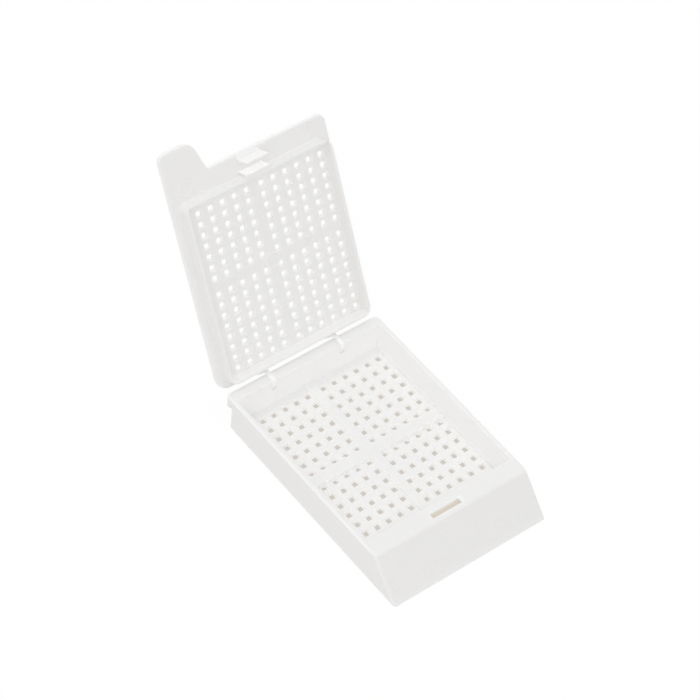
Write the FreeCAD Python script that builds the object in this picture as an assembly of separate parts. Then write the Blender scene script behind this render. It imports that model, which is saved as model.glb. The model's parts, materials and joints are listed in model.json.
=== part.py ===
"""Tissue cassette: a one-piece moulding with a perforated tray and a hinged perforated lid.

Millimetres. X runs across the cassette, +Y towards the hinge and +Z up. The origin is the
middle of the underside of the tray. The lid is drawn closed on the tray and then turned
open about the line that its two straps bend around.
"""
import FreeCAD, Part
import math
import os

# Tray, outside
CASSETTE_WIDTH = 28.5         # over the two long walls
BASE_LENGTH = 41.4            # foot of the writing face to the rear lip
BASE_HEIGHT = 5.9             # underside to the rim
WRITING_RUN = 5.6             # how far the writing face leans back over the height
CORNER_RADIUS = 0.9           # upright corners and the sides of the writing face
RIM_RADIUS = 0.2              # outer edge of the rim
LIP_DEPTH = 1.25              # how far the rear lip stands out from the wall under it
LIP_HEIGHT = 2.0

# Tray, inside
SIDE_RIM = 0.8                # width of the rim along the long walls
SIDE_DRAFT = 0.15             # how much further in the foot of a long wall stands
REAR_RIM = 1.7                # width of the rim over the rear wall
REAR_DRAFT = 0.55
LEDGE_DEPTH = 2.8             # flat ledge between the tray and the writing face
FRONT_DRAFT = 0.1
FLOOR_THICKNESS = 1.1
CATCH_BAY_WIDTH = 6.6         # shallow bay in the front wall, beside the lid's block
CATCH_BAY_DEPTH = 0.15

# Hollow under the ledge and the writing face
FRONT_WALL = 0.85             # upright wall between the tray and the hollow
PANEL_WALL = 0.9              # ledge, writing face and ends of the hollow

# Ribs and holes of the tray floor
RIB_HEIGHT = 0.4
LONG_RIB_WIDTH = 1.7
CROSS_RIB_WIDTH = 2.3
CROSS_RIB_OFFSET = 0.1        # cross rib behind the middle of the floor
BASE_HOLE = 1.1               # side of a square hole
BASE_COLUMN_START = 1.464     # first column from the middle
BASE_COLUMN_PITCH = 2.121
BASE_ROW_START = 1.449        # first row from the cross rib
BASE_ROW_PITCH = 2.021
BASE_HOLE_MARGIN = 0.3        # least land between a hole and the foot of a wall

# Slot in the ledge
SLOT_WIDTH = 5.7
SLOT_LAND = 0.5               # ledge left between the slot and the writing face
SLOT_GAP = 1.35

# Lid
LID_THICKNESS = 0.8
LID_SEAT_CLEARANCE = 0.05     # lid over the rim when it is shut
LID_REAR_SETBACK = 1.25       # hinge edge in front of the rear lip
LID_FRONT_SETBACK = 0.7       # far edge behind the top of the writing face
LID_CORNER_RADIUS = 2.0
TAB_REACH = 5.0               # how far the finger tab stands past the far edge
TAB_WIDTH = 7.39              # where it leaves the far edge
TAB_SLANT = 1.71              # how far the inner side of the tab leans in
TAB_OUTER_RADIUS = 1.6
TAB_INNER_RADIUS = 1.3

# Rim under the lid, which drops inside the tray
RING_WALL = 0.4
RING_HEIGHT = 2.3
RING_CORNER_RADIUS = 1.5
RING_SIDE_CLEARANCE = 0.25    # to the rim of the tray
RING_REAR_CLEARANCE = 0.6
RING_FRONT_CLEARANCE = 1.05

# Holes of the lid
LID_HOLE = 1.0
LID_COLUMN_START = 1.378
LID_COLUMN_PITCH = 2.17
LID_ROW_START = 1.349
LID_ROW_PITCH = 1.769
LID_HOLE_MARGIN = 0.05

# Catch: a tongue that drops into the slot, and a block on the ring behind it
TONGUE_WIDTH = 3.7            # at its root
TONGUE_FLARE = 0.15           # how much further out each side stands at the tip
TONGUE_LENGTH = 2.93
TONGUE_ROOT_LENGTH = 1.05     # straight part, before it leans in
TONGUE_THICKNESS = 0.5
TONGUE_TIP_THICKNESS = 0.35
TONGUE_LEAN = 0.5             # how far the tip leans towards the hinge
TONGUE_CLEARANCE = 0.3        # to the front edge of the slot
BLOCK_WIDTH = 4.1
BLOCK_DEPTH = 0.55

# Straps
STRAP_SPACING = 12.9          # from the middle of one strap to the middle of the other
STRAP_WIDTH = 0.8
STRAP_LID_WIDTH = 2.2         # where it leaves the lid
STRAP_THICKNESS = 0.3
STRAP_ROOT_LENGTH = 1.9       # how far it runs down the inside of the rear wall
STRAP_HANDLE = 0.9            # how far it runs on straight before it bends
STRAP_NECK_REACH = 0.4        # narrow part past the rear lip
STRAP_RECESS_GAP = 0.25       # recess on each side of the strap

# Line that the lid turns about, and the angle it stands open at
HINGE_INSET = 0.2255          # in front of the rear lip
HINGE_DROP = 1.226            # below the rim
LID_OPEN_ANGLE = 118.2

# Places that follow from the sizes
REAR = BASE_LENGTH / 2
FOOT = -BASE_LENGTH / 2
FACE_TOP = FOOT + WRITING_RUN
TRAY_REAR = REAR - REAR_RIM
TRAY_FRONT = FACE_TOP + LEDGE_DEPTH
TRAY_HALF = CASSETTE_WIDTH / 2 - SIDE_RIM
HINGE_Y = REAR - HINGE_INSET
HINGE_Z = BASE_HEIGHT - HINGE_DROP
LID_UNDER = BASE_HEIGHT + LID_SEAT_CLEARANCE
LID_REAR = REAR - LID_REAR_SETBACK
LID_FRONT = FACE_TOP + LID_FRONT_SETBACK
SLOT_FRONT = FACE_TOP + SLOT_LAND
RING_HALF = TRAY_HALF - RING_SIDE_CLEARANCE
RING_REAR = TRAY_REAR - RING_REAR_CLEARANCE
RING_FRONT = TRAY_FRONT + RING_FRONT_CLEARANCE

ABOVE = 5.0                   # how far a cutting solid runs past what it cuts


def vector(x, y, z):
    return FreeCAD.Vector(x, y, z)


def box(x_range, y_range, z_range):
    """A block between two values on each axis."""
    size = [high - low for low, high in (x_range, y_range, z_range)]
    return Part.makeBox(*size, vector(x_range[0], y_range[0], z_range[0]))


def across(outline, half_width):
    """An outline of (y, z) points, drawn out along X to both sides of the middle."""
    points = [vector(-half_width, y, z) for y, z in outline]
    face = Part.Face(Part.makePolygon(points + points[:1]))
    return face.extrude(vector(2 * half_width, 0, 0))


def upright(outline, low, high):
    """An outline of (x, y) points, drawn up from one height to another."""
    points = [vector(x, y, low) for x, y in outline]
    face = Part.Face(Part.makePolygon(points + points[:1]))
    return face.extrude(vector(0, 0, high - low))


def round_edges(solid, radius, wanted):
    """Fillet the edges whose two ends both pass a test."""
    edges = [e for e in solid.Edges if len(e.Vertexes) == 2 and wanted(*[v.Point for v in e.Vertexes])]
    return solid.makeFillet(radius, edges)


def round_upright(solid, radius, x, y):
    """Fillet the upright edges that stand at a given place."""
    def stands_there(a, b):
        same_place = abs(a.x - b.x) + abs(a.y - b.y) < 1e-6
        return same_place and abs(a.x - x) + abs(a.y - y) < 1e-6
    return round_edges(solid, radius, stands_there)


def spread(start, pitch, low, high):
    """Places at start, start + pitch and so on to both sides of zero, kept between two limits."""
    places = []
    for side, room in ((-1, -low), (1, high)):
        count = math.floor((room - start) / pitch) + 1
        places += [side * (start + pitch * i) for i in range(count)]
    return places


def square_holes(columns, rows, side, low, high):
    """One square post for each hole of a grid."""
    posts = []
    for x in columns:
        for y in rows:
            posts.append(box((x - side / 2, x + side / 2), (y - side / 2, y + side / 2), (low, high)))
    return posts


def rear_wall_y(z):
    """Where the inside of the rear wall stands at a height."""
    return TRAY_REAR - REAR_DRAFT * (BASE_HEIGHT - z) / (BASE_HEIGHT - FLOOR_THICKNESS)


def tray_hollow():
    """The space inside the tray, narrower at the floor than at the rim."""
    corners = {
        BASE_HEIGHT + 1e-3: (TRAY_HALF, TRAY_FRONT, TRAY_REAR),
        FLOOR_THICKNESS: (TRAY_HALF - SIDE_DRAFT, TRAY_FRONT + FRONT_DRAFT, TRAY_REAR - REAR_DRAFT),
    }
    loops = []
    for z, (half, front, rear) in corners.items():
        points = [vector(-half, front, z), vector(half, front, z), vector(half, rear, z), vector(-half, rear, z)]
        loops.append(Part.makePolygon(points + points[:1]))
    return Part.makeLoft(loops, True, True)


def front_hollow():
    """The space under the ledge and behind the writing face, open underneath."""
    lean = WRITING_RUN / BASE_HEIGHT
    wall_along_y = PANEL_WALL * math.hypot(1, lean)
    rear = TRAY_FRONT - FRONT_WALL
    top = BASE_HEIGHT - PANEL_WALL
    front_at_top = FACE_TOP + wall_along_y - lean * PANEL_WALL
    front_at_foot = FOOT + wall_along_y
    front_below = front_at_foot - lean * ABOVE
    outline = [(rear, top), (front_at_top, top), (front_below, -ABOVE), (rear, -ABOVE)]
    return across(outline, CASSETTE_WIDTH / 2 - PANEL_WALL)


def strap_middles():
    return {"left": -STRAP_SPACING / 2, "right": STRAP_SPACING / 2}


def strap_recess(x):
    """The channel over the rim and down the rear wall that a strap lies in."""
    half = STRAP_WIDTH / 2 + STRAP_RECESS_GAP
    foot_z = BASE_HEIGHT - STRAP_ROOT_LENGTH
    foot_y = rear_wall_y(foot_z)
    outline = [
        (REAR + ABOVE, BASE_HEIGHT - STRAP_THICKNESS),
        (TRAY_REAR + STRAP_THICKNESS, BASE_HEIGHT - STRAP_THICKNESS),
        (foot_y + STRAP_THICKNESS, foot_z),
        (foot_y - ABOVE, foot_z),
        (TRAY_REAR - ABOVE, BASE_HEIGHT + ABOVE),
        (REAR + ABOVE, BASE_HEIGHT + ABOVE),
    ]
    channel = across(outline, half)
    channel.translate(vector(x, 0, 0))
    return channel


def cassette_base():
    """Tray with its rim, ribs, holes, ledge, slot and hollow writing panel."""
    half = CASSETTE_WIDTH / 2
    profile = [
        (FOOT, 0), (REAR - LIP_DEPTH, 0), (REAR - LIP_DEPTH, BASE_HEIGHT - LIP_HEIGHT),
        (REAR, BASE_HEIGHT - LIP_HEIGHT), (REAR, BASE_HEIGHT), (FACE_TOP, BASE_HEIGHT),
    ]
    base = across(profile, half)
    for x in (-half, half):
        base = round_upright(base, CORNER_RADIUS, x, REAR)
        base = round_upright(base, CORNER_RADIUS, x, REAR - LIP_DEPTH)
    base = round_edges(base, CORNER_RADIUS, lambda a, b: abs(a.x - b.x) < 1e-6 and abs(abs(a.x) - half) < 1e-6
                       and {round(a.y, 4), round(b.y, 4)} == {round(FOOT, 4), round(FACE_TOP, 4)})
    base = round_edges(base, RIM_RADIUS, lambda a, b: abs(a.z - BASE_HEIGHT) + abs(b.z - BASE_HEIGHT) < 1e-6)
    base = base.cut(tray_hollow())

    bay_half = CATCH_BAY_WIDTH / 2
    bay = box((-bay_half, bay_half), (TRAY_FRONT - CATCH_BAY_DEPTH, TRAY_FRONT + FRONT_DRAFT),
              (FLOOR_THICKNESS, BASE_HEIGHT + ABOVE))
    slot_half = SLOT_WIDTH / 2
    slot = box((-slot_half, slot_half), (SLOT_FRONT, SLOT_FRONT + SLOT_GAP), (HINGE_Z, BASE_HEIGHT + ABOVE))
    base = base.cut([bay, front_hollow(), slot] + [strap_recess(x) for x in strap_middles().values()])

    floor_half = TRAY_HALF - SIDE_DRAFT
    floor_front = TRAY_FRONT + FRONT_DRAFT
    floor_rear = TRAY_REAR - REAR_DRAFT
    cross_y = (floor_front + floor_rear) / 2 + CROSS_RIB_OFFSET
    rib_top = FLOOR_THICKNESS + RIB_HEIGHT
    long_rib = box((-LONG_RIB_WIDTH / 2, LONG_RIB_WIDTH / 2), (floor_front, floor_rear), (FLOOR_THICKNESS / 2, rib_top))
    cross_rib = box((-floor_half, floor_half), (cross_y - CROSS_RIB_WIDTH / 2, cross_y + CROSS_RIB_WIDTH / 2),
                    (FLOOR_THICKNESS / 2, rib_top))
    base = base.fuse([long_rib, cross_rib]).removeSplitter()

    land = BASE_HOLE / 2 + BASE_HOLE_MARGIN
    columns = spread(BASE_COLUMN_START, BASE_COLUMN_PITCH, -floor_half + land, floor_half - land)
    rows = spread(BASE_ROW_START, BASE_ROW_PITCH, floor_front + land - cross_y, floor_rear - land - cross_y)
    rows = [cross_y + y for y in rows]
    return base.cut(square_holes(columns, rows, BASE_HOLE, -ABOVE, BASE_HEIGHT))


def lid_outline():
    """The flat plate of the lid with its finger tab, corners rounded."""
    half = CASSETTE_WIDTH / 2
    tab_front = LID_FRONT - TAB_REACH
    tab_root_x = TAB_WIDTH - half
    tab_tip_x = tab_root_x - TAB_SLANT
    outline = [(-half, LID_REAR), (half, LID_REAR), (half, LID_FRONT), (tab_root_x, LID_FRONT),
               (tab_tip_x, tab_front), (-half, tab_front)]
    plate = upright(outline, LID_UNDER, LID_UNDER + LID_THICKNESS)
    for x, y in ((-half, LID_REAR), (half, LID_REAR), (half, LID_FRONT)):
        plate = round_upright(plate, LID_CORNER_RADIUS, x, y)
    plate = round_upright(plate, TAB_INNER_RADIUS, tab_tip_x, tab_front)
    return round_upright(plate, TAB_OUTER_RADIUS, -half, tab_front)


def tongue():
    """The catch: it hangs from the lid, then leans in towards the hinge and flares a little."""
    root_front = SLOT_FRONT + TONGUE_CLEARANCE
    knee_z = LID_UNDER - TONGUE_ROOT_LENGTH
    tip_z = LID_UNDER - TONGUE_LENGTH
    tip_front = root_front + TONGUE_LEAN
    outline = [
        (root_front, LID_UNDER), (root_front, knee_z), (tip_front, tip_z),
        (tip_front + TONGUE_TIP_THICKNESS, tip_z), (root_front + TONGUE_THICKNESS, knee_z),
        (root_front + TONGUE_THICKNESS, LID_UNDER),
    ]
    plate = across(outline, TONGUE_WIDTH / 2 + TONGUE_FLARE)
    root_half = TONGUE_WIDTH / 2
    tip_half = root_half + TONGUE_FLARE
    front = [(-root_half, LID_UNDER), (-tip_half, tip_z), (tip_half, tip_z), (root_half, LID_UNDER)]
    points = [vector(x, root_front - ABOVE, z) for x, z in front]
    shape = Part.Face(Part.makePolygon(points + points[:1])).extrude(vector(0, 3 * ABOVE, 0))
    return plate.common(shape)


def lid():
    """Perforated plate, ring, tongue and block, drawn shut on the tray."""
    ring_low = LID_UNDER - RING_HEIGHT
    outer = box((-RING_HALF, RING_HALF), (RING_FRONT, RING_REAR), (ring_low, LID_UNDER))
    for x in (-RING_HALF, RING_HALF):
        for y in (RING_FRONT, RING_REAR):
            outer = round_upright(outer, RING_CORNER_RADIUS, x, y)
    inner_half = RING_HALF - RING_WALL
    inner_front = RING_FRONT + RING_WALL
    inner_rear = RING_REAR - RING_WALL
    ring = outer.cut(box((-inner_half, inner_half), (inner_front, inner_rear), (ring_low - ABOVE, LID_UNDER)))
    block = box((-BLOCK_WIDTH / 2, BLOCK_WIDTH / 2), (RING_FRONT - BLOCK_DEPTH, RING_FRONT + RING_WALL / 2),
                (ring_low, LID_UNDER))
    shape = lid_outline().fuse([ring, block, tongue()]).removeSplitter()

    land = LID_HOLE / 2 + LID_HOLE_MARGIN
    middle_y = (inner_front + inner_rear) / 2
    columns = spread(LID_COLUMN_START, LID_COLUMN_PITCH, -inner_half + land, inner_half - land)
    rows = spread(LID_ROW_START, LID_ROW_PITCH, inner_front + land - middle_y, inner_rear - land - middle_y)
    rows = [middle_y + y for y in rows]
    return shape.cut(square_holes(columns, rows, LID_HOLE, LID_UNDER - ABOVE, LID_UNDER + ABOVE))


def opened(y, z):
    """Where a point of the shut lid lies once the lid is turned open."""
    turn = math.radians(LID_OPEN_ANGLE)
    dy = y - HINGE_Y
    dz = z - HINGE_Z
    return HINGE_Y + dy * math.cos(turn) + dz * math.sin(turn), HINGE_Z - dy * math.sin(turn) + dz * math.cos(turn)


def strap_side(start_z, lid_z):
    """One long side of a strap, from the rear lip to the hinge edge of the open lid."""
    lid_y, lid_height = opened(LID_REAR, lid_z)
    before_y, before_height = opened(LID_REAR + STRAP_HANDLE, lid_z)
    curve = Part.BezierCurve()
    curve.setPoles([vector(0, REAR, start_z), vector(0, REAR + STRAP_HANDLE, start_z),
                    vector(0, before_y, before_height), vector(0, lid_y, lid_height)])
    return curve.toShape()


def hinge_strap(x):
    """A thin ribbon: down inside the rear wall, over the rim, and round to the lid's edge."""
    lid_middle = LID_UNDER + LID_THICKNESS / 2
    top = BASE_HEIGHT
    under = BASE_HEIGHT - STRAP_THICKNESS
    foot_z = BASE_HEIGHT - STRAP_ROOT_LENGTH
    foot_y = rear_wall_y(foot_z)
    upper = strap_side(top, lid_middle - STRAP_THICKNESS / 2)
    lower = strap_side(under, lid_middle + STRAP_THICKNESS / 2)
    corners = [vector(0, REAR, top), vector(0, TRAY_REAR, top), vector(0, foot_y, foot_z),
               vector(0, foot_y + STRAP_THICKNESS, foot_z), vector(0, TRAY_REAR + STRAP_THICKNESS, under),
               vector(0, REAR, under)]
    ends = [upper.Vertexes[-1].Point, lower.Vertexes[-1].Point]
    edges = Part.makePolygon(corners).Edges + [upper, lower, Part.makeLine(*ends)]
    face = Part.Face(Part.Wire(Part.__sortEdges__(edges)))
    half = STRAP_LID_WIDTH / 2
    face.translate(vector(-half, 0, 0))
    ribbon = face.extrude(vector(2 * half, 0, 0))

    lid_y = min(end.y for end in ends)
    neck_y = REAR + STRAP_NECK_REACH
    narrow = STRAP_WIDTH / 2
    plan = [(-narrow, TRAY_REAR - ABOVE), (narrow, TRAY_REAR - ABOVE), (narrow, neck_y), (half, lid_y),
            (half, lid_y + ABOVE), (-half, lid_y + ABOVE), (-half, lid_y), (-narrow, neck_y)]
    strap = ribbon.common(upright(plan, -ABOVE, BASE_HEIGHT + ABOVE))
    strap.translate(vector(x, 0, 0))
    return strap


def write(name, shape):
    """Check that a sub-part is whole and write it as a STEP file."""
    solids = shape.Solids
    print(name, "solids", len(solids), "valid", shape.isValid(), "volume", round(shape.Volume, 2))
    solid = solids[0] if len(solids) == 1 else shape
    solid.exportStep("parts/" + name + ".step")


def main():
    os.makedirs("parts", exist_ok=True)
    write("cassette_base", cassette_base())
    open_lid = lid()
    open_lid.rotate(vector(0, HINGE_Y, HINGE_Z), vector(-1, 0, 0), LID_OPEN_ANGLE)
    write("lid", open_lid)
    for side, x in strap_middles().items():
        write("hinge_strap_" + side, hinge_strap(x))


main()
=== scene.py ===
import json
import math

import bmesh
import bpy
import numpy as np
from mathutils import Matrix, Vector


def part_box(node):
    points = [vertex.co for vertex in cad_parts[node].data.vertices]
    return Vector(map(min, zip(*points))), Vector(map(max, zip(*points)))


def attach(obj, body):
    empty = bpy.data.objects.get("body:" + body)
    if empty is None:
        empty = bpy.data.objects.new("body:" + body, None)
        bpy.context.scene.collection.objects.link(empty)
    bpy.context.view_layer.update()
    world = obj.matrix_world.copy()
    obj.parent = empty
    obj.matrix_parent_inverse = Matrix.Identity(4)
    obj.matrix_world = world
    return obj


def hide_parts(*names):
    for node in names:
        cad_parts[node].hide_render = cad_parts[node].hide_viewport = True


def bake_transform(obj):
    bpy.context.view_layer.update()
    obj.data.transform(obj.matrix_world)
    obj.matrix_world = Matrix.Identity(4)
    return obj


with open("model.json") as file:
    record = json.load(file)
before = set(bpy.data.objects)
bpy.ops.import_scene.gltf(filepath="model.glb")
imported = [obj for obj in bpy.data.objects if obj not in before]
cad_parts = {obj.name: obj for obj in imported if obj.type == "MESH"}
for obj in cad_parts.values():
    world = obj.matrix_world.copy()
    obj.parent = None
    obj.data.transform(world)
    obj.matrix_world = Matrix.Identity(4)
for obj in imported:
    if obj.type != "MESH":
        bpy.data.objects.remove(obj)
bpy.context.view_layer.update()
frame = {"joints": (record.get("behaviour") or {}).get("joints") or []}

# ---------------------------------------------------------------------------
# Tray. One injection moulding in white acetal: thin walls around a perforated
# floor that a raised cross stiffens, a ledge with the slot for the catch, and
# a sloped writing panel that is hollow underneath so that the walls cool evenly.
# ---------------------------------------------------------------------------
MM = 0.001                    # sizes are in millimetres until a mesh is made
TINY = 1e-6                   # a difference that counts as none

base_low, base_high = [np.array(corner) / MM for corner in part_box("cassette_base")]
half_width = base_high[0]
height = base_high[2]
rear_y = base_high[1]
foot_y = base_low[1]

writing_run = 5.6             # how far the writing face leans back over the height
side_rim = 0.8                # also the radius of the tray's upright corners
side_draft = 0.15             # how much further in the foot of a wall stands
rear_rim = 1.7
rear_draft = 0.55
front_draft = 0.1
ledge_depth = 2.8
front_wall = 0.85             # between the tray and the hollow
panel_wall = 0.9              # ledge and writing face
floor_top = 1.0
floor_under = 0.27            # how deep the underside is cored between the ribs
lip_depth = 1.25
lip_height = 2.0
slot_half = 2.85
slot_land = 0.66              # ledge left in front of the slot
slot_gap = 1.19
bay_half = 3.3                # shallow bay for the block of the lid
bay_depth = 0.15
rib_rise = 0.4
long_rib_half = 0.76
cross_rib_half = 1.15
base_hole = 1.05
rim_radius = 0.2              # of the rim's outer edge
edge_radius = 0.05            # of every other sharp edge
strap_x = 6.45
strap_width = 0.8
strap_depth = 0.3
recess_half = strap_width / 2 + 0.02
recess_depth = 0.2

face_top_y = foot_y + writing_run
tray_front = face_top_y + ledge_depth
tray_rear = rear_y - rear_rim
tray_half = half_width - side_rim
lip_foot = height - lip_height
ceiling = height - panel_wall
cross_y = (tray_front + front_draft + tray_rear - rear_draft) / 2


def grid_lines(*values):
    """Sorted places of the grid's lines along one axis, doubles taken out."""
    return np.unique(np.round(np.concatenate([np.atleast_1d(v) for v in values]), 5))


def mirrored(values):
    """Values to both sides of zero."""
    values = np.asarray(values, float)
    return np.concatenate([-values, values])


def hole_places(start, pitch, count):
    """Middles at start, start + pitch and so on, to both sides of zero."""
    return mirrored(start + pitch * np.arange(count))


def in_holes(x, y, columns, rows, side):
    """Whether a place lies in one of the square holes: within half a side of a column and of a row."""
    near_column = np.abs(x[..., None] - columns).min(-1) < side / 2
    near_row = np.abs(y[..., None] - rows).min(-1) < side / 2
    return near_column & near_row


def cell_middles(*lines):
    """Middles of the cells between the grid lines, as three arrays of one value for each cell."""
    return np.meshgrid(*[(line[1:] + line[:-1]) / 2 for line in lines], indexing="ij")


def line_number(lines, value):
    """Which grid line stands at a value."""
    return int(np.abs(lines - value).argmin())


def skin(full, points):
    """The outer skin of a moulding laid out in cells.

    Where a full cell meets an empty one along an axis, the quad between them is kept: its four
    corners are grid points, ordered so that its normal runs from full to empty.
    """
    padded = np.pad(full, 1).astype(int)
    number = np.arange(points[0].size).reshape(points[0].shape)
    quads = []
    for axis in range(3):
        # grid lines of this axis first, the other two after it in turning order
        order = [axis, (axis + 1) % 3, (axis + 2) % 3]
        step = np.diff(padded.transpose(order), axis=0)[:, 1:-1, 1:-1]
        numbers = number.transpose(order)
        corners = np.stack([numbers[:, :-1, :-1], numbers[:, 1:, :-1],
                            numbers[:, 1:, 1:], numbers[:, :-1, 1:]], -1)
        quads.append(corners[step == -1])
        quads.append(corners[step == 1][:, ::-1])
    quads = np.concatenate(quads)
    used, quads = np.unique(quads, return_inverse=True)
    places = np.stack([axis.ravel()[used] for axis in points], -1)
    return places, quads.reshape(-1, 4)


def rounded_corner(x, y, centre, outward, reach, radius_knots, chosen=True):
    """Points near an upright corner, drawn from square onto round.

    In the square from centre to centre + outward * reach, a point's ring is its larger distance
    from the centre. Each ring keeps its straight part and bends the rest into an arc, whose
    radius follows radius_knots, a list of (ring, radius).
    """
    a = (x - centre[0]) * outward[0]
    b = (y - centre[1]) * outward[1]
    inside = (a > TINY) & (b > TINY) & (a < reach + TINY) & (b < reach + TINY) & chosen
    ring = np.maximum(a, b)
    rings, radii = zip(*radius_knots)
    radius = np.maximum(np.interp(ring, rings, radii), TINY)
    straight = ring - radius
    along = np.clip((np.minimum(a, b) - straight) / radius, 0, 1) * math.pi / 4
    bends = inside & (along > 0)
    longer = np.where(bends, straight + radius * np.cos(along), ring)
    shorter = np.where(bends, straight + radius * np.sin(along), np.minimum(a, b))
    new_a = np.where(a >= b, longer, shorter)
    new_b = np.where(a >= b, shorter, longer)
    x = np.where(inside, centre[0] + new_a * outward[0], x)
    y = np.where(inside, centre[1] + new_b * outward[1], y)
    return x, y


EDGE_ANGLE = math.radians(32)    # an outward edge sharper than this gets a radius
CREASE_ANGLE = math.radians(50)  # and one that still turns by this much is shaded as a crease


def add_piece(name, places, faces, material, body, edge=0.0):
    """A mesh of places in millimetres that rides on a body, smooth but for its creases.

    Its sharp outward edges are rounded by the edge radius, apart from those it stands on.
    """
    mesh = bpy.data.meshes.new(name)
    mesh.from_pydata((places * MM).tolist(), [], faces.tolist())
    mesh.polygons.foreach_set("use_smooth", np.ones(len(mesh.polygons), bool))
    mesh.materials.append(material)
    piece = bpy.data.objects.new(name, mesh)
    bpy.context.scene.collection.objects.link(piece)
    if edge:
        shape = bmesh.new()
        shape.from_mesh(mesh)
        corners = [seam for seam in shape.edges if seam.calc_face_angle_signed(0) > EDGE_ANGLE
                   and max(end.co.z for end in seam.verts) > TINY]
        bmesh.ops.bevel(shape, geom=corners, offset=edge * MM, offset_type="OFFSET", segments=2,
                        profile=0.5, affect="EDGES", clamp_overlap=False)
        for seam in shape.edges:
            seam.smooth = abs(seam.calc_face_angle(0)) < CREASE_ANGLE
        shape.to_mesh(mesh)
        shape.free()
        mesh.polygons.foreach_set("use_smooth", np.ones(len(mesh.polygons), bool))
        evened = piece.modifiers.new("evened_shading", "WEIGHTED_NORMAL")
        evened.keep_sharp = True
    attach(piece, body)
    return piece


def shader_node(tree, kind, **values):
    """A shader node with its settings and its unlinked sockets filled in."""
    node = tree.nodes.new(kind)
    for key, value in values.items():
        if key in node.inputs:
            node.inputs[key].default_value = value
        else:
            setattr(node, key, value)
    return node


def ramp(tree, value, start, end, low, high):
    """A value carried from low at start to high at end, and level beyond both; it gives a socket."""
    node = shader_node(tree, "ShaderNodeMapRange",
                       **{"From Min": start, "From Max": end, "To Min": low, "To Max": high})
    tree.links.new(value, node.inputs["Value"])
    return node.outputs["Result"]


def place_along(tree, axis):
    """The place of a shaded point along an axis of its object, in metres, as a socket."""
    place = shader_node(tree, "ShaderNodeTexCoord")
    apart = shader_node(tree, "ShaderNodeSeparateXYZ")
    tree.links.new(place.outputs["Object"], apart.inputs["Vector"])
    return apart.outputs[axis]


def worked_out(tree, operation, first, second=0.0):
    """A sum of a socket with a number or another socket, as a socket."""
    node = shader_node(tree, "ShaderNodeMath", operation=operation)
    tree.links.new(first, node.inputs[0])
    if isinstance(second, float):
        node.inputs[1].default_value = second
    else:
        tree.links.new(second, node.inputs[1])
    return node.outputs["Value"]


GRAIN_SCALE = 4500.0             # noise cells per metre: a grain of about a fifth of a millimetre
CLOUD_SCALE = 350.0              # gloss that comes and goes over some three millimetres


def acetal(name, colour, roughness, grain_depth, mottle=0.0, scatter=0.4, glow=0.0):
    """White acetal as it leaves the mould: light scatters a little way in, and the skin has a grain.

    The mottle is how far the grain carries the colour up and down, and the scatter and the grain's
    depth are in millimetres. The glow is painted light, as a share of plain white: it stands in for
    light that has come through the thickness of the wall and leaves again.
    """
    material = bpy.data.materials.new(name)
    material.use_nodes = True
    tree = material.node_tree
    shader = tree.nodes["Principled BSDF"]
    shader.inputs["Base Color"].default_value = (*colour, 1)
    shader.inputs["IOR"].default_value = 1.48
    if scatter:
        shader.inputs["Subsurface Weight"].default_value = 0.3
        shader.inputs["Subsurface Radius"].default_value = (1.0, 0.95, 0.9)
        shader.inputs["Subsurface Scale"].default_value = scatter * MM
    shader.inputs["Emission Color"].default_value = (0.97, 0.975, 1, 1)
    shader.inputs["Emission Strength"].default_value = glow
    place = shader_node(tree, "ShaderNodeTexCoord")
    cloud = shader_node(tree, "ShaderNodeTexNoise", Scale=CLOUD_SCALE, Detail=3.0)
    tree.links.new(place.outputs["Object"], cloud.inputs["Vector"])
    gloss = ramp(tree, cloud.outputs["Fac"], 0, 1, roughness - 0.05, roughness + 0.07)
    tree.links.new(gloss, shader.inputs["Roughness"])
    grain = shader_node(tree, "ShaderNodeTexNoise", Scale=GRAIN_SCALE, Detail=2.0)
    tree.links.new(place.outputs["Object"], grain.inputs["Vector"])
    bump = shader_node(tree, "ShaderNodeBump", Strength=0.5, Distance=grain_depth * MM)
    tree.links.new(grain.outputs["Fac"], bump.inputs["Height"])
    if mottle:
        tint = shader_node(tree, "ShaderNodeVectorMath", operation="SCALE")
        tint.inputs[0].default_value = colour
        level = ramp(tree, grain.outputs["Fac"], 0, 1, 1 - mottle / 2, 1 + mottle / 2)
        tree.links.new(level, tint.inputs["Scale"])
        tree.links.new(tint.outputs["Vector"], shader.inputs["Base Color"])
    tree.links.new(bump.outputs["Normal"], shader.inputs["Normal"])
    return material


tray_white = (0.975, 0.97, 0.96)
tray_plastic = acetal("tray_plastic", tray_white, 0.42, 0.006)
# the writing face keeps its real grain and mottle; its darker white is painted shade
writing_grain_and_shade = acetal("writing_grain_and_shade", (0.93, 0.925, 0.915), 0.6, 0.08, mottle=0.1)
# painted light: upright walls get a faint glow, standing in for light that comes through their thin
# plastic
glowing_thin_wall = acetal("glowing_thin_wall", tray_white, 0.42, 0.006, glow=0.05)
# painted highlight: the slot's front lip gets a glow
slot_lip_highlight = acetal("slot_lip_highlight", tray_white, 0.3, 0.003, scatter=0, glow=0.15)
# painted shade and light: inside the slot the plastic gets a warm darker white for its shade, and a
# painted glow, standing in for light through the ledge, that fades on its way down
hollow_shade_and_glow = acetal("hollow_shade_and_glow", (0.95, 0.9, 0.83), 0.5, 0.006, scatter=0)
light_ends, light_is_full, ledge_light = 1.15, 0.45, 0.25  # two depths under the rim, and a strength
tree = hollow_shade_and_glow.node_tree
hollow_shader = tree.nodes["Principled BSDF"]
hollow_shader.inputs["Emission Color"].default_value = (0.5, 0.75, 1, 1)
daylight = ramp(tree, place_along(tree, "Z"), (height - light_ends) * MM,
                (height - light_is_full) * MM, 0, ledge_light)
tree.links.new(daylight, hollow_shader.inputs["Emission Strength"])

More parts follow.
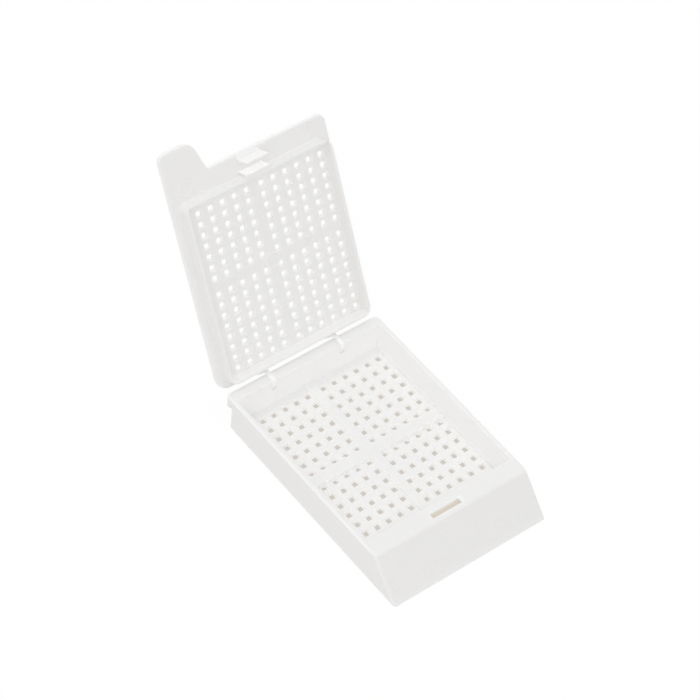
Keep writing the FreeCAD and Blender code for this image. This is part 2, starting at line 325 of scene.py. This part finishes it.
base_columns = hole_places(1.464, 2.121, 6)
base_rows = cross_y + hole_places(1.449, 2.021, 7)
panel_inside = foot_y + panel_wall * math.hypot(1, writing_run / height)
slot_front = face_top_y + slot_land
corner_steps = side_rim * np.array([0, 0.5, 1])
half_way_round = 1 - math.sin(math.pi / 4)  # how far in the middle of a round corner lies, per radius
corner_cut = side_rim * half_way_round      # the writing face cuts the front corners off there
tray_x = grid_lines(
    mirrored(half_width - corner_steps), mirrored([long_rib_half, slot_half, bay_half]),
    mirrored([strap_x - recess_half, strap_x + recess_half]),
    base_columns - base_hole / 2, base_columns + base_hole / 2,
)
tray_y = grid_lines(
    foot_y - corner_cut + corner_steps, panel_inside, slot_front, slot_front + slot_gap,
    tray_front - front_wall, tray_front - bay_depth, tray_front,
    cross_y - cross_rib_half, cross_y + cross_rib_half,
    base_rows - base_hole / 2, base_rows + base_hole / 2, tray_rear, tray_rear + recess_depth,
    rear_y - lip_depth, rear_y - corner_steps[::-1],
)
tray_z = grid_lines(
    0, floor_under, floor_top, floor_top + rib_rise, lip_foot, ceiling, height - recess_depth,
    height - rim_radius, height - rim_radius * half_way_round, height,
)


def tray_is_plastic(x, y, z):
    """Whether the moulding fills a place, before its slopes and drafts are given to it."""
    wall = (np.abs(x) > tray_half) | (y < tray_front) | (y > tray_rear)
    cross = (np.abs(x) < long_rib_half) | (np.abs(y - cross_y) < cross_rib_half)
    rib = (z < floor_top + rib_rise) & cross
    floor = (z < floor_top) | rib
    holes = in_holes(x, y, base_columns, base_rows, base_hole)
    cored = (z < floor_under) & ~rib
    hollow = (y > panel_inside) & (y < tray_front - front_wall) & (np.abs(x) < tray_half) & (z < ceiling)
    slot = (y > slot_front) & (y < slot_front + slot_gap) & (np.abs(x) < slot_half) & (z > ceiling)
    bay = (y > tray_front - bay_depth) & (y < tray_front) & (np.abs(x) < bay_half) & (z > floor_top)
    under_lip = (y > rear_y - lip_depth) & (z < lip_foot)
    at_strap = np.abs(np.abs(x) - strap_x) < recess_half
    recess = at_strap & (y > tray_rear) & (z > height - recess_depth)
    groove = at_strap & (y > tray_rear) & (y < tray_rear + recess_depth) & (z > lip_foot)
    return (wall | (floor & ~holes & ~cored)) & ~hollow & ~slot & ~bay & ~under_lip & ~recess & ~groove


def tray_points():
    """Grid points of the tray, given its round corners, drafts, rolled rim and sloped face."""
    x, y, z = np.meshgrid(tray_x, tray_y, tray_z, indexing="ij")
    rise = np.clip((height - z) / (height - floor_top), 0, 1)
    # corners first, while the front is still upright
    round_all_through = [(0, 0), (side_rim, side_rim)]
    for side in (-1, 1):
        for end_y, end in ((foot_y - corner_cut, -1), (rear_y, 1)):
            x, y = rounded_corner(x, y, (side * tray_half, end_y - end * side_rim), (side, end),
                                  side_rim, round_all_through)
        x, y = rounded_corner(x, y, (side * tray_half, rear_y - lip_depth - side_rim), (side, 1),
                              side_rim, round_all_through, z < lip_foot + TINY)
    # the writing face cuts the front corners off flat
    y = np.maximum(y, foot_y)
    # writing face: its lines lean back as they rise, and above the hollow they draw together
    # behind its top. How far behind it each ends is given by the slot, up to 4 mm from the
    # middle of the ledge, and for its ends, from 10 mm on
    by_slot, by_end = 4, 10
    outer = line_number(tray_y, foot_y + side_rim)
    inside = line_number(tray_y, panel_inside)
    slot_line = line_number(tray_y, slot_front)
    share = z / height
    beside = np.clip((np.abs(x) - by_slot) / (by_end - by_slot), 0, 1)
    behind_top = ((1, 0.25, 0.45), (outer, 0.33, 0.8), (inside, 0.41, 0.9),
                  (slot_line, slot_land, slot_land + 0.5))
    for line, at_slot, at_end in behind_top:
        top = face_top_y + at_slot + (at_end - at_slot) * beside[:, line]
        foot = y[:, line] + writing_run * share[:, line]
        high = np.clip((z[:, line] - ceiling) / (height - ceiling), 0, 1)
        drawn = foot + (top - face_top_y - tray_y[line] + foot_y) * high
        y[:, line] = np.where(line == slot_line, top, drawn)
    y[:, 0] += writing_run * share[:, 0]
    # drafts of the inner walls
    left, right = line_number(tray_x, -tray_half), line_number(tray_x, tray_half)
    front, rear = line_number(tray_y, tray_front), line_number(tray_y, tray_rear)
    x[left, front:rear + 1] += side_draft * rise[left, front:rear + 1]
    x[right, front:rear + 1] -= side_draft * rise[right, front:rear + 1]
    y[left:right + 1, front] += front_draft * rise[left:right + 1, front]
    y[left:right + 1, rear] -= rear_draft * rise[left:right + 1, rear]
    groove = line_number(tray_y, tray_rear + recess_depth)
    y[left:right + 1, groove] -= rear_draft * rise[left:right + 1, groove]
    # the rim's outer edge is rolled over: a quarter circle in its last stretch of height
    drop = np.clip(z - (height - rim_radius), 0, rim_radius)
    inset = rim_radius - np.sqrt(rim_radius ** 2 - drop ** 2)
    core_x = np.clip(x, -tray_half, tray_half)
    core_y = np.clip(y, face_top_y + side_rim, rear_y - side_rim)
    away = np.maximum(np.hypot(x - core_x, y - core_y), TINY)
    outline = np.zeros(x.shape, bool)
    outline[[0, -1]] = True
    outline[:, [0, -1]] = True
    x = np.where(outline, x - inset * (x - core_x) / away, x)
    y = np.where(outline, y - inset * (y - core_y) / away, y)
    return x, y, z


tray_skin = skin(tray_is_plastic(*cell_middles(tray_x, tray_y, tray_z)), tray_points())
tray = add_piece("tray_moulding", *tray_skin, tray_plastic, "tray", edge=edge_radius)


def polygon_places(mesh):
    """Middles in millimetres and normals of a mesh's faces, each as three rows."""
    middles, normals = np.empty(len(mesh.polygons) * 3), np.empty(len(mesh.polygons) * 3)
    mesh.polygons.foreach_get("center", middles)
    mesh.polygons.foreach_get("normal", normals)
    return middles.reshape(-1, 3).T / MM, normals.reshape(-1, 3).T


# which material each face of the tray wears. A face is known by its middle and its normal, so
# every test reaches a little past the wall that it means
WRITING_GRAIN_AND_SHADE, LIT_WALL, HOLLOW_SHADE, LIP_HIGHLIGHT = 1, 2, 3, 4
for material in (writing_grain_and_shade, glowing_thin_wall, hollow_shade_and_glow, slot_lip_highlight):
    tray.data.materials.append(material)
(mid_x, mid_y, mid_z), (_, toward_y, toward_z) = polygon_places(tray.data)
past = 0.02
in_basin = (np.abs(mid_x) < tray_half + past) & (mid_y > tray_front - 0.3) & (mid_y < tray_rear + 0.05)
in_groove = (np.abs(np.abs(mid_x) - strap_x) < recess_half + past) & (mid_y > tray_rear - rear_draft)
on_roll = (mid_z > height - rim_radius - past) & (mid_y > face_top_y + 1)
in_slot = ((np.abs(mid_x) < slot_half + 0.1) & (np.abs(mid_y - slot_front - slot_gap / 2) < slot_gap)
           & (mid_z > ceiling) & (mid_z < height - edge_radius - past))
in_hollow = ((np.abs(mid_x) < tray_half + past) & (mid_y < tray_front - front_wall + past)
             & (mid_y > foot_y + 0.6 + writing_run * mid_z / height)
             & (mid_z > past) & (mid_z < ceiling + past))
on_lip_highlight = (np.abs(mid_x) < slot_half) & (np.abs(mid_y - slot_front) < edge_radius + past)
on_writing_face = (mid_y < face_top_y) & (toward_y < -0.6) & (toward_z > 0.5)
slope = np.abs(toward_z)  # nought on an upright face, one on a level face
kind = np.zeros(len(mid_x), np.int32)
# painted light: a faint glow on the basin's upright walls, the groove and the rim's roll
kind[(in_basin | in_groove) & (slope < 0.6)] = LIT_WALL
kind[on_roll & (slope < 0.98)] = LIT_WALL
# painted shade and glow in the hollow and on the slot's upright walls
kind[in_hollow | (in_slot & (slope < 0.2))] = HOLLOW_SHADE
# painted shade: the writing face's darker white
kind[on_writing_face] = WRITING_GRAIN_AND_SHADE
# painted highlight on the slot's front lip
kind[on_lip_highlight & (toward_y > 0.2) & (toward_z > 0.2)] = LIP_HIGHLIGHT
tray.data.polygons.foreach_set("material_index", kind)
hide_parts("cassette_base")

# ---------------------------------------------------------------------------
# Lid. The same acetal in the same shot: a perforated plate with a finger tab,
# a thin ring under it that drops inside the tray, and the catch, a straight
# tongue with a slanted tip and a short block behind it that stops it bending.
# ---------------------------------------------------------------------------
hinge = frame["joints"][0]
hinge_y, hinge_z = hinge["pos_m"][1] / MM, hinge["pos_m"][2] / MM
open_angle = -math.radians(hinge["range_deg"][0])

# the lid is laid out shut, where z still means the height over the tray's underside
lid_thickness = 0.8
lid_under = height + 0.05
lid_rear = rear_y - 1.25
lid_front = face_top_y + 0.7
plate_corner = 2.0            # radius of the rear corners
flange_square, flange_corner = 2.0, 1.2
tab_reach = 5.0
tab_width = 7.39
tab_slant = 1.71              # how far the tab's inner side leans in
tab_outer_square, tab_outer_corner = 1.6, 1.25
tab_inner_corner = 1.3
tab_front = lid_front - tab_reach
tab_x = tab_width - half_width
ring_half = tray_half - 0.25
ring_rear = tray_rear - 0.6
ring_front = tray_front + 1.05
ring_low = lid_under - 2.3
ring_wall = 0.4               # of the front and the rear; the sides reach to the holes
ring_inner_corner = 0.3
lid_hole = 1.05
lid_column_start = 1.378
tongue_half = lid_column_start + lid_hole / 2
tongue_front = slot_front + 0.62
tongue_depth = 0.5
tongue_knee = lid_under - 0.45
tongue_tip = lid_under - 3.0
tongue_foot_ramp = 0.4
tongue_tip_slant = 0.35
block_half = 2.1
block_front = ring_front - 0.55

lid_columns = hole_places(lid_column_start, 2.17, 6)
ring_side = ring_half - lid_columns.max() - lid_hole / 2
ring_corner = ring_half - lid_columns.max() + lid_hole / 2
lid_middle_y = (ring_front + ring_rear) / 2
lid_rows = lid_middle_y - 0.05 + hole_places(1.349, 1.769, 8)
# lines between the named edges carry the round corners
lid_x = grid_lines(
    mirrored([half_width, half_width - 0.45, ring_half, ring_half - ring_side,
              half_width - flange_square, ring_half - ring_corner, tongue_half, block_half]),
    tab_x - np.array([0, 0.24, 0.89, tab_inner_corner]),
    lid_columns - lid_hole / 2, lid_columns + lid_hole / 2,
)
lid_y = grid_lines(
    tab_front + tab_outer_square * np.linspace(0, 1, 5), lid_front,
    tongue_front, tongue_front + tongue_depth, lid_front + np.array([1.3, 1.65, flange_square]),
    block_front, ring_front, ring_front + ring_wall, ring_front + 0.95,
    lid_rows - lid_hole / 2, lid_rows + lid_hole / 2,
    ring_rear - np.array([ring_corner, 0.95, ring_wall, 0]), lid_rear - 0.5, lid_rear,
)
lid_z = grid_lines(tongue_tip, ring_low, tongue_knee, lid_under, lid_under + lid_thickness)


def lid_is_plastic(x, y, z):
    """Whether the lid fills a place, while it lies shut."""
    plate = (z > lid_under) & ((y > lid_front) | (x < tab_x))
    holes = in_holes(x, y, lid_columns, lid_rows, lid_hole)
    in_outer = (np.abs(x) < ring_half) & (y > ring_front) & (y < ring_rear)
    in_inner = ((np.abs(x) < ring_half - ring_side)
                & (y > ring_front + ring_wall) & (y < ring_rear - ring_wall))
    ring = in_outer & ~in_inner & (z > ring_low)
    block = (np.abs(x) < block_half) & (y > block_front) & (y < ring_front + ring_wall) & (z > ring_low)
    tongue = (np.abs(x) < tongue_half) & (y > tongue_front) & (y < tongue_front + tongue_depth)
    return (plate & ~holes) | ((ring | block | tongue) & (z < lid_under))


def turned_open(y, z):
    """Places of the shut lid once it is turned open about the hinge line."""
    dy, dz = y - hinge_y, z - hinge_z
    return (hinge_y + dy * math.cos(open_angle) + dz * math.sin(open_angle),
            hinge_z - dy * math.sin(open_angle) + dz * math.cos(open_angle))


def lid_points():
    """Grid points of the lid, with round corners, slanted tab and the tongue's shape, turned open."""
    x, y, z = np.meshgrid(lid_x, lid_y, lid_z, indexing="ij")
    below = z < lid_under - TINY
    ring_centre = ring_half - ring_corner
    ring_knots = [(0, 0), (ring_corner - ring_wall, ring_inner_corner), (ring_corner, ring_corner)]
    to_plate_corner = 2.55
    fades_out = 2.05
    for side in (-1, 1):
        x, y = rounded_corner(x, y, (side * ring_centre, ring_rear - ring_corner), (side, 1),
                              to_plate_corner, ring_knots + [(to_plate_corner, plate_corner)])
        x, y = rounded_corner(x, y, (side * ring_centre, ring_front + ring_corner), (side, -1),
                              fades_out, ring_knots + [(fades_out, 0)])
    x, y = rounded_corner(x, y, (half_width - flange_square, lid_front + flange_square), (1, -1),
                          flange_square, [(0, 0), (flange_square, flange_corner)], ~below)
    x, y = rounded_corner(x, y, (-half_width + tab_outer_square, tab_front + tab_outer_square), (-1, -1),
                          tab_outer_square, [(0, 0), (tab_outer_square, tab_outer_corner)])
    x, y = rounded_corner(x, y, (tab_x - tab_inner_corner, tab_front + tab_inner_corner), (1, -1),
                          tab_inner_corner, [(0, 0), (tab_inner_corner, tab_inner_corner)])
    # the inner side of the tab leans in, and lines further out lean less
    still = -12.5
    out = np.clip((lid_front - y) / (lid_front - tab_front), 0, 1)
    x = x - tab_slant * out * np.clip((x - still) / (tab_x - tab_inner_corner - still), 0, 1)
    # tongue: a little wider than the hole beside it, and more so at its tip; its foot has a ramp
    front, back = line_number(lid_y, tongue_front), line_number(lid_y, tongue_front + tongue_depth)
    hang = np.clip((lid_under - z) / (lid_under - tongue_tip), 0, 1)
    on_tongue = (np.abs(x) < tongue_half + TINY) & (z < lid_under + TINY)
    y[:, front] -= tongue_foot_ramp * (on_tongue & ~below)[:, front]
    wider = 0.1 * (1 + hang)
    spread = 1 + wider / tongue_half * on_tongue
    for line in (front, back):
        x[:, line] *= spread[:, line]
    z[:, back] += tongue_tip_slant * (z[:, back] < tongue_tip + TINY)
    y, z = turned_open(y, z)
    return x, y, z


# painted shade: the lid is the same acetal, given a little darker white than the tray's
lid_shaded_white = (0.95, 0.945, 0.935)
lid_plastic = acetal("lid_plastic", lid_shaded_white, 0.38, 0.006)
lid_skin = skin(lid_is_plastic(*cell_middles(lid_x, lid_y, lid_z)), lid_points())
lid = add_piece("lid_moulding", *lid_skin, lid_plastic, "lid", edge=edge_radius)

# which material each face of the lid wears, told in the same way. Painted light: the edges that face up
# and the faces across the plate's thickness get a faint glow, and the thin block a stronger one,
# standing in for light that comes through them; the plate gets painted light that grows towards its
# sides, where the ring's sides throw light on it; and the tips of those sides get painted shade, a
# darker white
GLOWING_EDGE, GLOWING_BLOCK, LIT_SIDE_PLATE, SHADED_RING_TIP = 1, 2, 3, 4
plate_side_glow = acetal("lid_plate_side_glow", lid_shaded_white, 0.38, 0.006)
lighter_from, lightest_from, ring_light = 9.6, 11.3, 0.12  # two places along x, and a strength
tree = plate_side_glow.node_tree
sideways = worked_out(tree, "ABSOLUTE", place_along(tree, "X"))
tree.links.new(ramp(tree, sideways, lighter_from * MM, lightest_from * MM, 0, ring_light),
               tree.nodes["Principled BSDF"].inputs["Emission Strength"])
for material in (acetal("lid_edge_glow", lid_shaded_white, 0.38, 0.006, glow=0.045),
                 acetal("catch_gap_glow", lid_shaded_white, 0.38, 0.006, glow=0.22), plate_side_glow,
                 acetal("lid_ring_tip_shade", (0.86, 0.85, 0.83), 0.38, 0.006, scatter=0)):
    lid.data.materials.append(material)
(mid_x, mid_y, mid_z), (_, toward_y, toward_z) = polygon_places(lid.data)
# run is where a face would lie along y with the lid shut, and hang how far below the plate
from_hinge_y, from_hinge_z = mid_y - hinge_y, mid_z - hinge_z
sine, cosine = math.sin(open_angle), math.cos(open_angle)
run = hinge_y + from_hinge_y * cosine - from_hinge_z * sine
hang = lid_under - hinge_z - from_hinge_y * sine - from_hinge_z * cosine
outward = toward_y * sine + toward_z * cosine
ahead_of_ring = run < ring_front - 0.1
kind = np.zeros(len(mid_x), np.int32)
kind[(toward_z > 0.6) & ((hang < past) | ahead_of_ring | (run > lid_middle_y))] = GLOWING_EDGE
kind[(toward_z > 0.6) & (run > tongue_front + 0.6) & ahead_of_ring & (hang > past)] = GLOWING_BLOCK
kind[(hang < -past) & (hang > past - lid_thickness) & (np.abs(outward) < 0.5)] = GLOWING_EDGE
kind[(outward > 0.9) & (np.abs(hang) < past) & (np.abs(mid_x) > 9.5) & (run > ring_front)] = LIT_SIDE_PLATE
kind[(outward > 0.5) & (hang > lid_under - ring_low - edge_radius - past)
     & (np.abs(mid_x) > ring_half - ring_side - past)] = SHADED_RING_TIP
lid.data.polygons.foreach_set("material_index", kind)
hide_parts("lid")


def round_marks(marks, floor_z, up):
    """Fine raised circles left by the ejector pins, as (x, y, radius, width, rise) on a level face.

    Each is a band around its circle whose height follows half a sine wave across its width.
    """
    places, faces = [], []
    around = np.linspace(0, 2 * math.pi, 40, endpoint=False)
    across = np.linspace(0, 1, 5)
    sunk = 0.01
    for x, y, radius, width, rise in marks:
        reach = radius + width * (across - 0.5)[:, None]
        ridge = floor_z + up * (rise * np.sin(math.pi * across)[:, None] - sunk) + 0 * around
        number = np.arange(across.size * around.size).reshape(across.size, -1)
        number += sum(len(part) for part in places)
        after = np.roll(number, -1, axis=1)
        circle = [x + reach * np.cos(around), y + reach * np.sin(around), ridge]
        places.append(np.stack(circle, -1).reshape(-1, 3))
        band = np.stack([number[:-1], number[1:], after[1:], after[:-1]], -1).reshape(-1, 4)
        faces.append(band if up > 0 else band[:, ::-1])
    return np.concatenate(places), np.concatenate(faces)


# painted light: a faint glow makes the pin marks look lighter
glowing_pin_plastic = acetal("glowing_pin_plastic", (0.94, 0.935, 0.925), 0.35, 0.003, scatter=0, glow=0.05)

# x, y, radius, width and rise of each ring, with the lid shut
tray_pins = [(0, 11.9, 0.75, 0.14, 0.08), (9.0, 3.25, 0.75, 0.14, 0.05), (-9.0, 3.25, 0.75, 0.14, 0.05),
             (0, -5.4, 0.75, 0.14, 0.05)]
places, faces = round_marks(tray_pins, floor_top + rib_rise, 1)
tray_marks = add_piece("tray_pin_marks", places, faces, glowing_pin_plastic, "tray")
lid_pins = [(0, 3.65, 1.25, 0.25, 0.12), (0, -5.05, 0.65, 0.16, 0.08), (6.87, 3.45, 0.65, 0.16, 0.08),
            (-6.87, 3.45, 0.65, 0.16, 0.08), (0, 11.95, 0.65, 0.16, 0.08),
            (11.5, -13.05, 1.05, 0.18, 0.05), (-11.2, -13.1, 1.05, 0.18, 0.05)]
places, faces = round_marks(lid_pins, lid_under, -1)
places[:, 1], places[:, 2] = turned_open(places[:, 1], places[:, 2])
lid_marks = add_piece("lid_pin_marks", places, faces, glowing_pin_plastic, "lid")

# ---------------------------------------------------------------------------
# Straps. Two thin ribbons of the same shot, the living hinge: each runs up the
# inside of the rear wall, over the rim in a shallow recess, and widens as it
# goes round to the lid's edge. They are shaped for the lid turned open.
# ---------------------------------------------------------------------------
# painted light: the straps get a glow so that they stay light in the gap between the lid and the tray
strap_plastic = acetal("strap_plastic", (0.96, 0.955, 0.945), 0.3, 0.003, scatter=0, glow=0.1)
strap_handle = 0.9            # how far it runs on straight before it bends
neck_reach = 0.25             # narrow part past the rear lip
lid_end_half = 1.1            # half its width where it meets the lid
swelling, swelling_reach = 0.7, 0.45
squareness = 0.5              # of the section: one would be a plain oval
edge_y, edge_z = turned_open(lid_rear, lid_under + lid_thickness / 2)


def strap_path(steps):
    """Middle line of a strap in the (y, z) plane.

    It runs up the groove, over the rim, and on to the lid's edge in a Bezier curve of four poles,
    whose handles reach straight on from the rim and straight back from the lid.
    """
    root_z = lip_foot + 0.1
    root_y = tray_rear - rear_draft * (height - root_z) / (height - floor_top) + strap_depth / 2
    before_y, before_z = turned_open(lid_rear + strap_handle, lid_under + lid_thickness / 2)
    level = height - strap_depth / 2
    # the root, the turn onto the rim in two steps, and level over the rim
    straight = np.array([[root_y, root_z], [tray_rear + 0.1, level - 0.12], [tray_rear + 0.26, level],
                         [rear_y - 0.6, level]])
    t = np.linspace(0, 1, steps)[:, None]
    poles = np.array([[rear_y, level], [rear_y + strap_handle, level], [before_y, before_z],
                      [edge_y, edge_z]])
    bend = ((1 - t) ** 3 * poles[0] + 3 * t * (1 - t) ** 2 * poles[1]
            + 3 * t ** 2 * (1 - t) * poles[2] + t ** 3 * poles[3])
    return np.concatenate([straight, bend])


def strap_ribbon(middle_x):
    """A flat ribbon with round sides, carried along the strap's path.

    Its section is a flattened oval whose half-width grows from the neck to the lid's edge as the
    smooth step of the way between them. At the root it swells to a small drop of plastic.
    """
    path = strap_path(14)
    tangent = np.gradient(path, axis=0)
    tangent /= np.linalg.norm(tangent, axis=1, keepdims=True)
    normal = np.stack([-tangent[:, 1], tangent[:, 0]], -1)
    past_neck = path[:, 0] - rear_y - neck_reach
    way = np.clip(past_neck / (past_neck[-1] - 0.1), 0, 1)
    half = strap_width / 2 + (lid_end_half - strap_width / 2) * way ** 2 * (3 - 2 * way)
    turn = np.linspace(0, 2 * math.pi, 24, endpoint=False)
    oval_x = np.sign(np.cos(turn)) * np.abs(np.cos(turn)) ** squareness
    oval_n = np.sign(np.sin(turn)) * np.abs(np.sin(turn)) ** squareness * strap_depth / 2
    in_groove = path[:, :1] < tray_rear + 0.05
    above_root = (path[:, 1:] - path[0, 1]) / swelling_reach
    swell = 1 + swelling * np.exp(-above_root ** 2) * in_groove
    x = middle_x + half[:, None] * oval_x
    y = path[:, :1] + normal[:, :1] * oval_n * swell
    z = path[:, 1:] + normal[:, 1:] * oval_n * swell
    places = np.stack([x, y, z], -1).reshape(-1, 3)
    rings, around = x.shape
    number = np.arange(rings * around).reshape(rings, around)
    after = np.roll(number, -1, axis=1)
    sides = np.stack([number[:-1], number[1:], after[1:], after[:-1]], -1).reshape(-1, 4)
    ends = [number[0], number[-1][::-1]]
    return places, sides, ends


for side, middle_x in (("left", -strap_x), ("right", strap_x)):
    places, sides, ends = strap_ribbon(middle_x)
    mesh = bpy.data.meshes.new("strap_" + side)
    mesh.from_pydata((places * MM).tolist(), [], sides.tolist() + [end.tolist() for end in ends])
    mesh.polygons.foreach_set("use_smooth", np.ones(len(mesh.polygons), bool))
    mesh.materials.append(strap_plastic)
    strap = bpy.data.objects.new("strap_" + side, mesh)
    bpy.context.scene.collection.objects.link(strap)
    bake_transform(strap)
    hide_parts("hinge_strap_" + side)

# ---------------------------------------------------------------------------
# Light table. Seen straight, the sheet is plain white with a faint shadow, and inside the tray's
# outline it carries painted shade, a dim warm grey, so that its holes look dark. Bounced light
# meets it evenly lit, just as it meets a plain sky.
# ---------------------------------------------------------------------------
world = bpy.data.worlds.new("studio")
bpy.context.scene.world = world
world.use_nodes = True
tree = world.node_tree
sky = tree.nodes["Background"]
sky.inputs["Color"].default_value = (1, 1, 1, 1)
sky.inputs["Strength"].default_value = 0.7


def seen_straight(tree):
    """One for rays that look straight, in a mirror or through glass; nought for light that bounces."""
    rays = shader_node(tree, "ShaderNodeLightPath").outputs
    either = worked_out(tree, "MAXIMUM", rays["Is Camera Ray"], rays["Is Glossy Ray"])
    return worked_out(tree, "MAXIMUM", either, rays["Is Transmission Ray"])


def mixed(tree, share, first, second):
    """A shader that goes from the first to the second with a share, which is a socket or a number."""
    mix = shader_node(tree, "ShaderNodeMixShader")
    if isinstance(share, float):
        mix.inputs["Fac"].default_value = share
    else:
        tree.links.new(share, mix.inputs["Fac"])
    tree.links.new(first, mix.inputs[1])
    tree.links.new(second, mix.inputs[2])
    return mix.outputs["Shader"]


white_sky = shader_node(tree, "ShaderNodeBackground", Color=(1, 1, 1, 1), Strength=1.0)
either_sky = mixed(tree, seen_straight(tree), sky.outputs["Background"],
                   white_sky.outputs["Background"])
tree.links.new(either_sky, tree.nodes["World Output"].inputs["Surface"])

sheet_half = 0.6
sheet_mesh = bpy.data.meshes.new("sheet")
sheet_mesh.from_pydata([(-sheet_half, -sheet_half, 0), (sheet_half, -sheet_half, 0),
                        (sheet_half, sheet_half, 0), (-sheet_half, sheet_half, 0)], [], [(0, 1, 2, 3)])
sheet = bpy.data.objects.new("sheet", sheet_mesh)
sheet.location = (0, 0, -0.02 * MM)  # a hair lower than what stands on it
bpy.context.scene.collection.objects.link(sheet)
sheet_paper = bpy.data.materials.new("sheet_paper")
sheet_paper.use_nodes = True
tree = sheet_paper.node_tree
paper = tree.nodes["Principled BSDF"]
paper.inputs["Base Color"].default_value = (0.85, 0.85, 0.85, 1)
paper.inputs["Roughness"].default_value = 0.9
# outside the outline of the tray, drawn in a little from its walls
beyond = []
for axis, low, high in (("X", -tray_half, tray_half), ("Y", foot_y + 1, rear_y - 2)):
    off_middle = worked_out(tree, "SUBTRACT", place_along(tree, axis), (low + high) / 2 * MM)
    distance = worked_out(tree, "ABSOLUTE", off_middle)
    beyond.append(worked_out(tree, "GREATER_THAN", distance, (high - low) / 2 * MM))
outside = worked_out(tree, "MAXIMUM", *beyond)
glow = shader_node(tree, "ShaderNodeEmission", Color=(1, 1, 1, 1), Strength=1.04)
# painted shade: the sheet under the tray, seen through its holes and slot
under_tray_shade = shader_node(tree, "ShaderNodeEmission", Color=(0.63, 0.6, 0.55, 1), Strength=1.0)
lit = shader_node(tree, "ShaderNodeEmission", Color=(0.81, 0.8, 0.79, 1), Strength=1.0)
glow_share = 0.85
around = mixed(tree, glow_share, paper.outputs["BSDF"], glow.outputs["Emission"])
shown = mixed(tree, outside, under_tray_shade.outputs["Emission"], around)
tree.links.new(mixed(tree, seen_straight(tree), lit.outputs["Emission"], shown),
               tree.nodes["Material Output"].inputs["Surface"])
sheet_mesh.materials.append(sheet_paper)

# ---------------------------------------------------------------------------
# Lamps. Three large soft panels, over the table, in front of it and behind it,
# so that every wall gets some light and no shadow has a hard edge.
# ---------------------------------------------------------------------------


def soft_panel(name, place, aim, size, power):
    """A square area lamp at a place, turned to face a point."""
    lamp = bpy.data.lights.new(name, "AREA")
    lamp.size = size
    lamp.energy = power
    holder = bpy.data.objects.new(name, lamp)
    holder.location = place
    holder.rotation_euler = (Vector(aim) - Vector(place)).to_track_quat("-Z", "Y").to_euler()
    bpy.context.scene.collection.objects.link(holder)


soft_panel("key", (0.05, 0.25, 0.6), (0, 0, 0.01), 0.2, 0.4)
soft_panel("fill", (-0.3, -0.3, 0.48), (0, 0, 0.01), 0.3, 0.55)
soft_panel("behind", (0.1, 0.6, 0.18), (0, 0.02, 0.02), 0.3, 0.2)

# ---------------------------------------------------------------------------
# Camera. It looks down at the cassette from its front left, more than forty
# centimetres away, through a long lens, and it is rolled a little.
# ---------------------------------------------------------------------------
azimuth, elevation, roll = math.radians(-43.949), math.radians(49.508), math.radians(-8.0)
aim_seen_from_eye = [5.04, 13.386, 433.428]  # millimetres to the right, down and away
back = np.array([math.sin(azimuth) * math.cos(elevation), -math.cos(azimuth) * math.cos(elevation),
                 math.sin(elevation)])
right = np.cross(-back, [0, 0, 1])
right /= np.linalg.norm(right)
down = np.cross(-back, right)
turn = np.array([[math.cos(roll), math.sin(roll), 0], [-math.sin(roll), math.cos(roll), 0], [0, 0, 1]])
axes = turn @ np.array([right, down, -back])
aim_point = np.array([0, rear_y - 20, height])
eye = aim_point - axes.T @ np.array(aim_seen_from_eye)
camera = bpy.data.objects.new("camera", bpy.data.cameras.new("camera"))
camera.data.sensor_width = 36
camera.data.lens = 151.58931
camera.data.clip_start = 0.01
turn_matrix = Matrix(np.array([axes[0], -axes[1], -axes[2]]).T.tolist()).to_4x4()
camera.matrix_world = Matrix.Translation(Vector(eye * MM)) @ turn_matrix
bpy.context.scene.collection.objects.link(camera)
bpy.context.scene.camera = camera
bpy.context.scene.view_settings.view_transform = "Standard"
